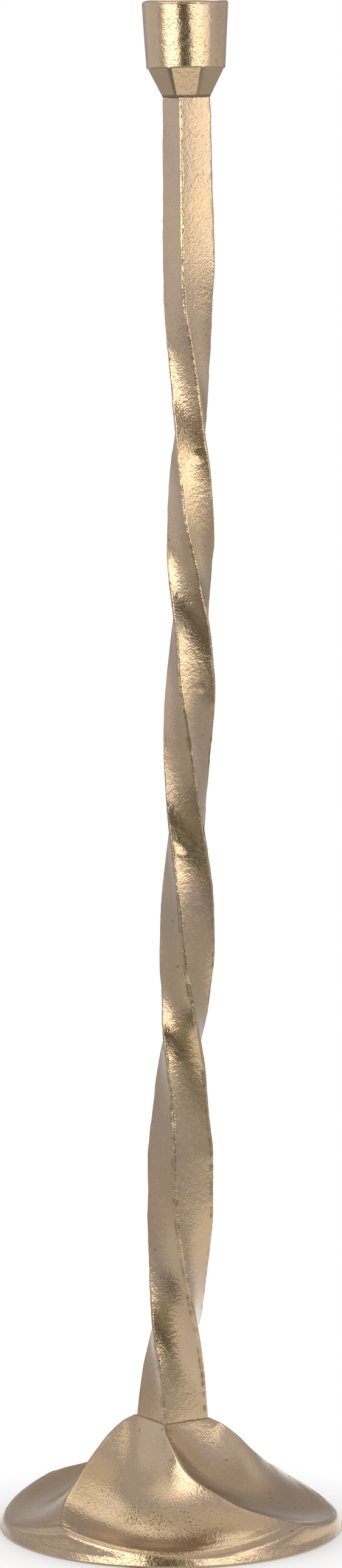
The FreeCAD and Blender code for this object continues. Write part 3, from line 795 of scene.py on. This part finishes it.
def make_screw(finish, place):
    angle = around(HARDWARE_COLUMNS)
    tip = SCREW_TOP - SCREW_LENGTH
    neck = SCREW_TOP - SCREW_CONE - SCREW_RUNOUT
    head = SCREW_HEAD_RADIUS - SCREW_HEAD_GAP
    low, high = tip + SCREW_CHAMFER + SCREW_RUNOUT, neck - 2 * SCREW_RUNOUT
    rim = hexagon(SOCKET_FLAT, angle)
    rows = [(AXIS_GAP, tip), (SCREW_RADIUS - SCREW_CHAMFER, tip), (SCREW_RADIUS, tip + SCREW_CHAMFER)]
    rows += thread_rows(low, high, SCREW_RADIUS, SCREW_PITCH, angle)
    rows += [
        (SCREW_RADIUS, neck),
        (head, SCREW_TOP - SCREW_HEAD_EDGE),
        (head - 0.8 * SCREW_HEAD_EDGE, SCREW_TOP),
        (SOCKET_RIM_RADIUS, SCREW_TOP),
        (rim + SOCKET_CHAMFER, SCREW_TOP - 0.75 * SOCKET_CHAMFER),
        (rim, SCREW_TOP - SOCKET_WALL_TOP),
        (rim, SCREW_TOP - SOCKET_DEPTH),
        (AXIS_GAP, SCREW_TOP - SOCKET_DEPTH - SOCKET_CONE),
    ]
    return dress(turned("socket_screw", rows, angle, place), finish, "zinc_steel", "cup_screw")


def make_bolt(finish, place):
    angle = around(HARDWARE_COLUMNS)
    side = hexagon(BOLT_HEAD_FLAT, angle)
    face = BOLT_HEAD_FLAT - BOLT_FACE_INSET
    top = BOLT_HEAD_TOP_Z - BOLT_WASHER_FACE
    low, high = BOLT_HEAD_TOP_Z + BOLT_SHANK, BOLT_TIP_Z - BOLT_CHAMFER - BOLT_RUNOUT
    rows = [(AXIS_GAP, BOLT_HEAD_Z), (face, BOLT_HEAD_Z)]
    for rise in BOLT_CHAMFER_RISES:
        rows.append((np.minimum(side, face + rise * BOLT_CHAMFER_SLOPE), BOLT_HEAD_Z + rise))
    rows += [
        (side, top - BOLT_TOP_EDGE),
        (side - 0.8 * BOLT_TOP_EDGE, top),
        (face - BOLT_WASHER_INSETS[0], top),
        (face - BOLT_WASHER_INSETS[1], BOLT_HEAD_TOP_Z),
        (BOLT_RADIUS, BOLT_HEAD_TOP_Z),
    ]
    rows += thread_rows(low, high, BOLT_RADIUS, BOLT_PITCH, angle)
    rows += [
        (BOLT_RADIUS, BOLT_TIP_Z - BOLT_CHAMFER),
        (BOLT_RADIUS - BOLT_CHAMFER, BOLT_TIP_Z),
        (AXIS_GAP, BOLT_TIP_Z),
    ]
    return dress(turned("hex_bolt", rows, angle, place), finish, "zinc_steel", "foot_bolt")


def make_washer(name, node, finish, radius, low, high, gap, place):
    """Ring with softened edges, split on the +x side when it has a gap."""
    soft = WASHER_EDGE
    inner, outer = WASHER_HOLE_RADIUS, radius
    section = [(outer, high - soft), (outer, low + soft), (outer - soft, low), (inner + soft, low)]
    section += [(inner, low + soft), (inner, high - soft), (inner + soft, high), (outer - soft, high)]
    start = math.asin(gap / 2 / inner)
    turns = np.linspace(start, 2 * math.pi - start, 2 * HARDWARE_COLUMNS)
    if not gap:
        turns = turns[:-1]
    points = np.array([[(r * math.cos(turn), r * math.sin(turn), z) for r, z in section] for turn in turns])
    if gap:
        ends = np.sign(points[..., 1]) * gap / 2
        near = (np.arange(len(turns)) % (len(turns) - 1) == 0)[:, None]
        points[..., 1] = np.where(near, ends, points[..., 1])
    piece = grid_object(name, points if gap else points.transpose(1, 0, 2)[::-1], not gap, {})
    piece.data.set_sharp_from_angle(angle=SHARP_EDGE)
    piece.data.transform(place)
    return dress(piece, finish, "zinc_steel", node)


def pad_outline():
    """Radius and height along a pad's underside, soft edge and top."""
    hole, middle = PAD_MIDDLE
    flat = [*np.linspace(middle, PAD_RADIUS - PAD_EDGE, PAD_FLAT_ROWS)]
    outline = [(hole, 0)] + [(radius, 0) for radius in flat]
    for turn in np.linspace(-math.pi / 2, math.pi / 2, PAD_EDGE_ROWS)[1:-1]:
        level = PAD_EDGE if turn < 0 else PAD_THICKNESS - PAD_EDGE
        outline.append((PAD_RADIUS - PAD_EDGE * (1 - math.cos(turn)), level + PAD_EDGE * math.sin(turn)))
    return outline + [(radius, PAD_THICKNESS) for radius in flat[::-1]] + [(hole, PAD_THICKNESS)]


def make_pads(finish):
    """Round felt pads with soft, slightly fuzzy edges."""
    angle = around(PAD_COLUMNS)
    pads = []
    for x, y in pad_places():
        points = np.array([ring(radius, height, angle, x) for radius, height in pad_outline()]) + (0, y, 0)
        normals = grid_normals(points, False)
        fuzz = layered(points, PAD_FUZZ, 61, -PAD_FUZZ_DEPTH)
        points = points + normals * np.minimum(fuzz, 0)[..., None]
        pads.append(grid_object("pad", points, False, {}))
    with bpy.context.temp_override(active_object=pads[0], selected_editable_objects=pads):
        bpy.ops.object.join()
    piece = pads[0]
    piece.name = "felt_discs"
    dress(piece, finish, "felt", "felt_pads")
    return piece


# Finishes

def link(tree, value, socket):
    """Set a socket from a number, a colour or another node's socket."""
    if isinstance(value, bpy.types.NodeSocket):
        tree.links.new(value, socket)
    elif isinstance(value, (tuple, list)) and len(value) == 3 and socket.type == "RGBA":
        socket.default_value = (*value, 1)
    else:
        socket.default_value = value


def feed(tree, node, inputs):
    """Set a node's inputs, given by name or number."""
    for name, value in dict(inputs).items():
        link(tree, value, node.inputs[name])


def add_node(tree, kind, inputs=(), **settings):
    """New node with its settings and its inputs."""
    node = tree.nodes.new(kind)
    for name, value in settings.items():
        setattr(node, name, value)
    feed(tree, node, inputs)
    return node


def noise_node(tree, where, scale, detail=2.0, rough=0.5):
    inputs = {"Vector": where, "Scale": scale, "Detail": detail, "Roughness": rough}
    return add_node(tree, "ShaderNodeTexNoise", inputs).outputs["Fac"]


def ramp(tree, value, low, high, start=0.0, end=1.0):
    """Value from low to high, made to run from start to end."""
    inputs = {"Value": value, "From Min": low, "From Max": high, "To Min": start, "To Max": end}
    return add_node(tree, "ShaderNodeMapRange", inputs, interpolation_type="SMOOTHSTEP").outputs["Result"]


def mix(tree, share, a, b):
    """Colour between a and b."""
    return add_node(tree, "ShaderNodeMix", {0: share, 6: a, 7: b}, data_type="RGBA").outputs[2]


def math_node(tree, operation, a, b=0.0):
    return add_node(tree, "ShaderNodeMath", {0: a, 1: b}, operation=operation).outputs[0]


def times(tree, a, b):
    return math_node(tree, "MULTIPLY", a, b)


def bump(tree, height, distance, normal=None, strength=1.0):
    inputs = {"Height": height, "Distance": distance, "Strength": strength}
    if normal is not None:
        inputs["Normal"] = normal
    return add_node(tree, "ShaderNodeBump", inputs).outputs["Normal"]


def new_material(name):
    material = bpy.data.materials.new(name)
    material.use_nodes = True
    tree = material.node_tree
    shader = tree.nodes["Principled BSDF"]
    where = add_node(tree, "ShaderNodeTexCoord").outputs["Object"]
    return material, tree, shader, where


CHAMPAGNE = (0.48, 0.358, 0.225)
ROSE_TAUPE = (0.445, 0.335, 0.232)
PALE_GOLD = (0.66, 0.50, 0.31)
PATINA_AND_PAINTED_SHADE = (0.11, 0.082, 0.045)


def cast_gold(material_name, grain, polish):
    """Pale gold casting: cloudy colour, grain, pits with patina, painted shade in creases and beside
    corners, and painted highlight along edges.
    """
    material, tree, shader, where = new_material(material_name)
    names = ("edge", "pits_and_painted_shade", "speckle")
    shades = [add_node(tree, "ShaderNodeAttribute", attribute_name=name) for name in names]
    edge, pits_and_painted_shade, speckle = [shade.outputs["Fac"] for shade in shades]
    cloud = noise_node(tree, where, 38.0, 3.0)
    mottle = noise_node(tree, where, 620.0, 1.0)
    fine = noise_node(tree, where, 1650.0, 1.5)
    speck = noise_node(tree, where, 2600.0, 1.0)
    colour = mix(tree, ramp(tree, cloud, 0.35, 0.65), CHAMPAGNE, ROSE_TAUPE)
    colour = mix(tree, ramp(tree, mottle, 0.55, 0.8, 0.0, 0.25), colour, PALE_GOLD)
    # Painted highlight: lighter along the stem's corners, the foot's ridges and rim crease, and the cup's
    # lip
    colour = mix(tree, times(tree, edge, 0.2), colour, PALE_GOLD)
    shown = math_node(tree, "SUBTRACT", fine, times(tree, speckle, 0.2))
    colour = mix(tree, ramp(tree, shown, 0.275, 0.225, 0.0, 0.85), colour, PATINA_AND_PAINTED_SHADE)
    # Patina in pits and dents, plus painted shade in the neck's creases and beside the stem's corners
    colour = mix(tree, times(tree, pits_and_painted_shade, 0.9), colour, PATINA_AND_PAINTED_SHADE)
    rough = ramp(tree, mottle, 0.3, 0.7, polish, polish + 0.06)
    rough = math_node(tree, "ADD", rough, times(tree, pits_and_painted_shade, 0.3))
    lively = math_node(tree, "ADD", times(tree, speckle, 1.7), 0.8)
    broad = bump(tree, mottle, 0.075 * MM * grain)
    middle = bump(tree, fine, 0.066 * MM * grain, broad, lively)
    normal = bump(tree, speck, 0.025 * MM * grain, middle)
    feed(tree, shader, {"Base Color": colour, "Roughness": rough, "Normal": normal, "Metallic": 1.0})
    return material


def zinc_steel():
    """Bright zinc-plated steel with a faint passivated tint and turning marks."""
    material, tree, shader, where = new_material("zinc_steel")
    cloud = noise_node(tree, where, 180.0, 3.0)
    fine = noise_node(tree, where, 2400.0, 2.0, 0.6)
    colour = mix(tree, ramp(tree, cloud, 0.35, 0.65), (0.60, 0.60, 0.60), (0.56, 0.57, 0.50))
    colour = mix(tree, ramp(tree, fine, 0.62, 0.75), colour, (0.30, 0.29, 0.27))
    rough = ramp(tree, cloud, 0.3, 0.7, 0.24, 0.38)
    normal = bump(tree, fine, 0.03 * MM)
    feed(tree, shader, {"Base Color": colour, "Roughness": rough, "Normal": normal, "Metallic": 1.0})
    return material


def felt():
    """Dark pressed wool: matted fibres over a soft, cloudy ground."""
    material, tree, shader, where = new_material("felt")
    cloud = noise_node(tree, where, 300.0, 3.0)
    fibre = noise_node(tree, where, 3200.0, 4.0, 0.75)
    colour = mix(tree, ramp(tree, cloud, 0.3, 0.7), (0.045, 0.042, 0.04), (0.075, 0.07, 0.065))
    colour = mix(tree, ramp(tree, fibre, 0.5, 0.75), colour, (0.16, 0.15, 0.14))
    rough = ramp(tree, fibre, 0.3, 0.7, 0.85, 1.0)
    normal = bump(tree, fibre, 0.25 * MM)
    feed(tree, shader, {"Base Color": colour, "Roughness": rough, "Normal": normal, "Sheen Weight": 0.3})
    return material


def dress(piece, finish, slot, *nodes):
    """Give a piece its finish, and let it stand for its CAD nodes."""
    piece.data.materials.clear()
    piece.data.materials.append(finish)
    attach(piece, "root")
    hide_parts(*nodes)
    return piece


# Studio

COOL = (0.95, 0.95, 1.06)
WARM = (1.03, 1.0, 0.94)
OLIVE = (1.05, 1.02, 0.80)
DUSK = (1.05, 0.97, 0.91)
WALL_DISTANCE = 1.2
WALL_HEIGHT = 3.0
WALL_LOW = ((0.12, 0.34), (0.62, 0.62, 0.67), (0.92, 0.92, 1.0))
WALL_HIGH = ((0.55, 0.8), (0.73, 0.73, 0.80))

# Panels on the wall: level and tint, azimuths and their softness in degrees, heights and their softness

WALL_PANELS = [
    (0.50, DUSK, 135, 225, 30, 0.1, 3.2, 0.2),
    (0.50, DUSK, -225, -140, 30, 0.1, 3.2, 0.2),
    (0.66, DUSK, 95, 140, 20, 0.5, 1.6, 0.3),
    (1.7, WARM, 150, 210, 14, 1.45, 2.8, 0.3),
    (1.7, WARM, -210, -150, 14, 1.45, 2.8, 0.3),
    (0.40, DUSK, 150, 184, 12, 0.15, 0.5, 0.15),
    (1.3, WARM, -85, -28, 20, 0.72, 1.9, 0.3),
    (0.55, COOL, -76, -68, 4, 0.3, 0.7, 0.1),
    (4.6, WARM, -50, -19, 6, 0.37, 0.58, 0.08),
    (4.6, WARM, -64, -48, 4, 0.44, 0.63, 0.05),
    (0.46, OLIVE, -32, 34, 16, -0.2, 0.27, 0.16),
    (0.75, WARM, -15, 14, 10, 0.60, 2.2, 0.1),
    (0.60, WARM, -14, 17, 8, 0.36, 0.62, 0.06),
    (0.20, OLIVE, -10, 14, 8, 0.15, 0.36, 0.06),
    (0.36, OLIVE, -12, 24, 8, -0.2, 0.24, 0.06),
    (0.13, OLIVE, 3, 24, 6, 0.05, 0.22, 0.05),
    (0.16, OLIVE, -17, 3, 6, 0.32, 1.1, 0.06),
    (0.95, WARM, 26, 72, 8, 0.25, 0.34, 0.08),
    (1.2, WARM, 20, 70, 6, 0.31, 0.42, 0.06),
    (2.1, WARM, 17, 68, 6, 0.385, 0.80, 0.05),
    (3.9, WARM, 18, 50, 5, 0.40, 0.50, 0.04),
]
CARD_DISTANCE = 0.65
CARD_REACH = (-66, -10, 0.26, 0.86)
CARD_PANELS = [
    (0.97, COOL, -63, -18, 5, 0.345, 0.42, 0.03),
    (2.0, WARM, -58, -19, 5, 0.405, 0.76, 0.05),
    (4.8, WARM, -54, -19, 4, 0.43, 0.50, 0.03),
]
FLAG_DISTANCE = 0.3
FLAG_REACH = (-18, 22, 0.37, 0.53)
FLAG_PANELS = [
    (1.1, WARM, -10, 13, 6, 0.388, 0.446, 0.012),
    (0.12, OLIVE, -11, 13, 5, 0.466, 0.515, 0.01),
]
TABLE_SHADES = [
    (0.2, OLIVE, -58, -34, 8, 0.30, 0.60, 0.06),
    (0.45, OLIVE, 36, 54, 8, 0.30, 0.60, 0.06),
    (0.62, DUSK, -155, -105, 15, 0.22, 0.62, 0.08),
    (1.32, WARM, -20, 22, 8, 0.32, 0.50, 0.06),
]
TABLE_LEFT = (0.88, 0.87, 0.88)
TABLE_RIGHT = (1.14, 1.12, 1.08)
TABLE_EDGE = (0.40, 0.62)
TABLE_TURN = (-60, 60)
FLOOR_TURN = (-50, 55, 30)
FLOOR_SIDES = (0.66, 0.65, 0.67)
FLOOR_FRONT = (0.36, 0.35, 0.30)
CEILING = (0.97, 0.92, 0.84)
SHADOW_REACH = (0.060, 0.10)
FLOOR_REACH = 12
CARD_COLUMNS = 25
TABLE_COLUMNS = 72
TABLE_SINK = 1 * MM


def make_camera():
    data = bpy.data.cameras.new("camera")
    data.lens = LENS_MM
    data.sensor_width = SENSOR_MM
    data.clip_start = 0.05
    data.clip_end = 60
    camera = bpy.data.objects.new("camera", data)
    camera.location = CAMERA_PLACE
    camera.rotation_euler = (CAMERA_TURN, 0, 0)
    bpy.context.scene.collection.objects.link(camera)
    bpy.context.scene.camera = camera


def window(tree, value, low, high, soft):
    """1 between low and high, fading to 0 over a soft width at either end."""
    rise = ramp(tree, value, low - soft / 2, low + soft / 2)
    return times(tree, rise, ramp(tree, value, high + soft / 2, high - soft / 2))


def room_places(tree):
    """Azimuth in degrees to the right of the camera, distance from the middle and height on a surface."""
    place = add_node(tree, "ShaderNodeNewGeometry").outputs["Position"]
    parts = add_node(tree, "ShaderNodeSeparateXYZ", {0: place}).outputs
    towards = times(tree, parts["Y"], -1.0)
    azimuth = times(tree, math_node(tree, "ARCTAN2", parts["X"], towards), 180 / math.pi)
    squares = [math_node(tree, "POWER", parts[axis], 2.0) for axis in "XY"]
    return azimuth, math_node(tree, "SQRT", math_node(tree, "ADD", *squares)), parts["Z"]


def shine_on_metal(name, vertices, faces, paint):
    """Glowing surface that only the metal sees, clear where it has no panel."""
    material = bpy.data.materials.new(name)
    material.use_nodes = True
    tree = material.node_tree
    tree.nodes.clear()
    colour, share = paint(tree, *room_places(tree))
    shine = add_node(tree, "ShaderNodeEmission", {"Color": colour, "Strength": 1.0})
    clear = add_node(tree, "ShaderNodeBsdfTransparent")
    blend = add_node(tree, "ShaderNodeMixShader", {0: share, 1: clear.outputs[0], 2: shine.outputs[0]})
    add_node(tree, "ShaderNodeOutputMaterial", {"Surface": blend.outputs[0]})
    surface = add_mesh(name, vertices, faces)
    surface.data.materials.append(material)
    for ray in ("camera", "diffuse", "transmission", "volume_scatter", "shadow"):
        setattr(surface, "visible_" + ray, False)


def tinted(level, tint):
    return tuple(level * channel for channel in tint)


def paint_panels(tree, azimuth, height, panels, colour):
    """Panels laid over a colour, and how far they cover it."""
    cover = 0.0
    for level, tint, left, right, side_soft, low, high, end_soft in panels:
        across = window(tree, azimuth, left, right, side_soft)
        share = times(tree, across, window(tree, height, low, high, end_soft))
        colour = mix(tree, share, colour, tinted(level, tint))
        cover = math_node(tree, "MAXIMUM", share, cover)
    return colour, cover


def paint_wall(tree, azimuth, distance, height):
    rise, low, middle = WALL_LOW
    colour = mix(tree, ramp(tree, height, *rise), low, middle)
    rise, high = WALL_HIGH
    colour = mix(tree, ramp(tree, height, *rise), colour, high)
    return paint_panels(tree, azimuth, height, WALL_PANELS, colour)[0], 1.0


def card_paint(panels):
    """Paint of a card that is clear where it has no panel."""
    ground = tinted(panels[0][0], WARM)
    return lambda tree, azimuth, distance, height: paint_panels(tree, azimuth, height, panels, ground)


def paint_table(tree, azimuth, distance, height):
    colour = mix(tree, ramp(tree, azimuth, *TABLE_TURN), TABLE_LEFT, TABLE_RIGHT)
    beyond = mix(tree, window(tree, azimuth, *FLOOR_TURN), FLOOR_SIDES, FLOOR_FRONT)
    colour = mix(tree, ramp(tree, distance, *TABLE_EDGE), colour, beyond)
    return paint_panels(tree, azimuth, distance, TABLE_SHADES, colour)[0], 1.0


def curved_card(name, distance, reach, paint):
    """Upright card bent around the object, from one azimuth and height to another."""
    left, right, low, high = reach
    turns = np.radians(np.linspace(left, right, CARD_COLUMNS))
    arc = [(distance * math.sin(turn), -distance * math.cos(turn)) for turn in turns]
    vertices = [(x, y, low) for x, y in arc] + [(x, y, high) for x, y in arc]
    count = len(arc)
    quads = [(k, k + 1, count + k + 1, count + k) for k in range(count - 1)]
    shine_on_metal(name, vertices, quads, paint)


def make_room():
    """Round wall, table top and two cards, a studio that only the metal sees."""
    curved_card("studio_wall", WALL_DISTANCE, (-180, 180, 0, WALL_HEIGHT), paint_wall)
    curved_card("studio_card", CARD_DISTANCE, CARD_REACH, card_paint(CARD_PANELS))
    curved_card("studio_flag", FLAG_DISTANCE, FLAG_REACH, card_paint(FLAG_PANELS))
    turns = around(TABLE_COLUMNS)
    disc = [(WALL_DISTANCE * math.sin(turn), -WALL_DISTANCE * math.cos(turn), -TABLE_SINK) for turn in turns]
    shine_on_metal("studio_table", disc, [tuple(range(len(disc)))], paint_table)


def make_floor():
    """White floor that shows only the object's shadow and melts into the white behind it."""
    corners = [(x * FLOOR_REACH, y * FLOOR_REACH, 0) for x, y in ((-1, -1), (1, -1), (1, 1), (-1, 1))]
    material, tree, shader, where = new_material("floor")
    paper = noise_node(tree, where, 900.0, 3.0)
    colour = mix(tree, ramp(tree, paper, 0.3, 0.7), (0.93, 0.93, 0.93), (0.95, 0.95, 0.95))
    feed(tree, shader, {"Base Color": colour, "Roughness": 0.9, "Specular IOR Level": 0.0})
    distance = room_places(tree)[1]
    white = add_node(tree, "ShaderNodeEmission", {"Color": (1.0, 1.0, 1.0), "Strength": 1.0})
    faded = ramp(tree, distance, *SHADOW_REACH)
    blend = add_node(tree, "ShaderNodeMixShader", {0: faded, 1: shader.outputs[0], 2: white.outputs[0]})
    link(tree, blend.outputs[0], tree.nodes["Material Output"].inputs["Surface"])
    floor = add_mesh("floor", corners, [(0, 1, 2, 3)])
    floor.data.materials.append(material)
    floor.visible_glossy = False


def make_world():
    """Plain white, a little warmer and darker overhead as the metal sees it."""
    world = bpy.data.worlds.new("studio")
    world.use_nodes = True
    bpy.context.scene.world = world
    tree = world.node_tree
    tree.nodes.clear()
    glossy = add_node(tree, "ShaderNodeLightPath").outputs["Is Glossy Ray"]
    colour = mix(tree, glossy, (1.0, 1.0, 1.0), CEILING)
    shine = add_node(tree, "ShaderNodeBackground", {"Color": colour, "Strength": 1.0})
    add_node(tree, "ShaderNodeOutputWorld", {"Surface": shine.outputs[0]})


make_camera()
make_floor()
make_world()
make_room()

satin_gold = cast_gold("satin_gold", 1.0, 0.12)
zinc = zinc_steel()
cup_base = Matrix.Translation((SEAT_OFFSET + STEM_LEAN, 0, SEAT_Z + STEM_LENGTH))
cup_place = cup_base @ Matrix.Rotation(CUP_TILT, 4, "Y")
bolt_place = Matrix.Translation((SEAT_OFFSET, 0, 0))
make_stem(satin_gold)
make_foot(satin_gold)
make_cup(satin_gold, cup_place)
make_screw(zinc, cup_place)
make_bolt(zinc, bolt_place)
make_washer("split_ring", "spring_washer", zinc, SPRING_WASHER_RADIUS,
            BOLT_HEAD_TOP_Z, SPRING_WASHER_TOP_Z, SPRING_WASHER_SPLIT, bolt_place)
make_washer("plain_ring", "flat_washer", zinc, FLAT_WASHER_RADIUS,
            SPRING_WASHER_TOP_Z, BOSS_Z, 0, bolt_place)
make_pads(felt())

bpy.context.scene.view_settings.view_transform = "Standard"
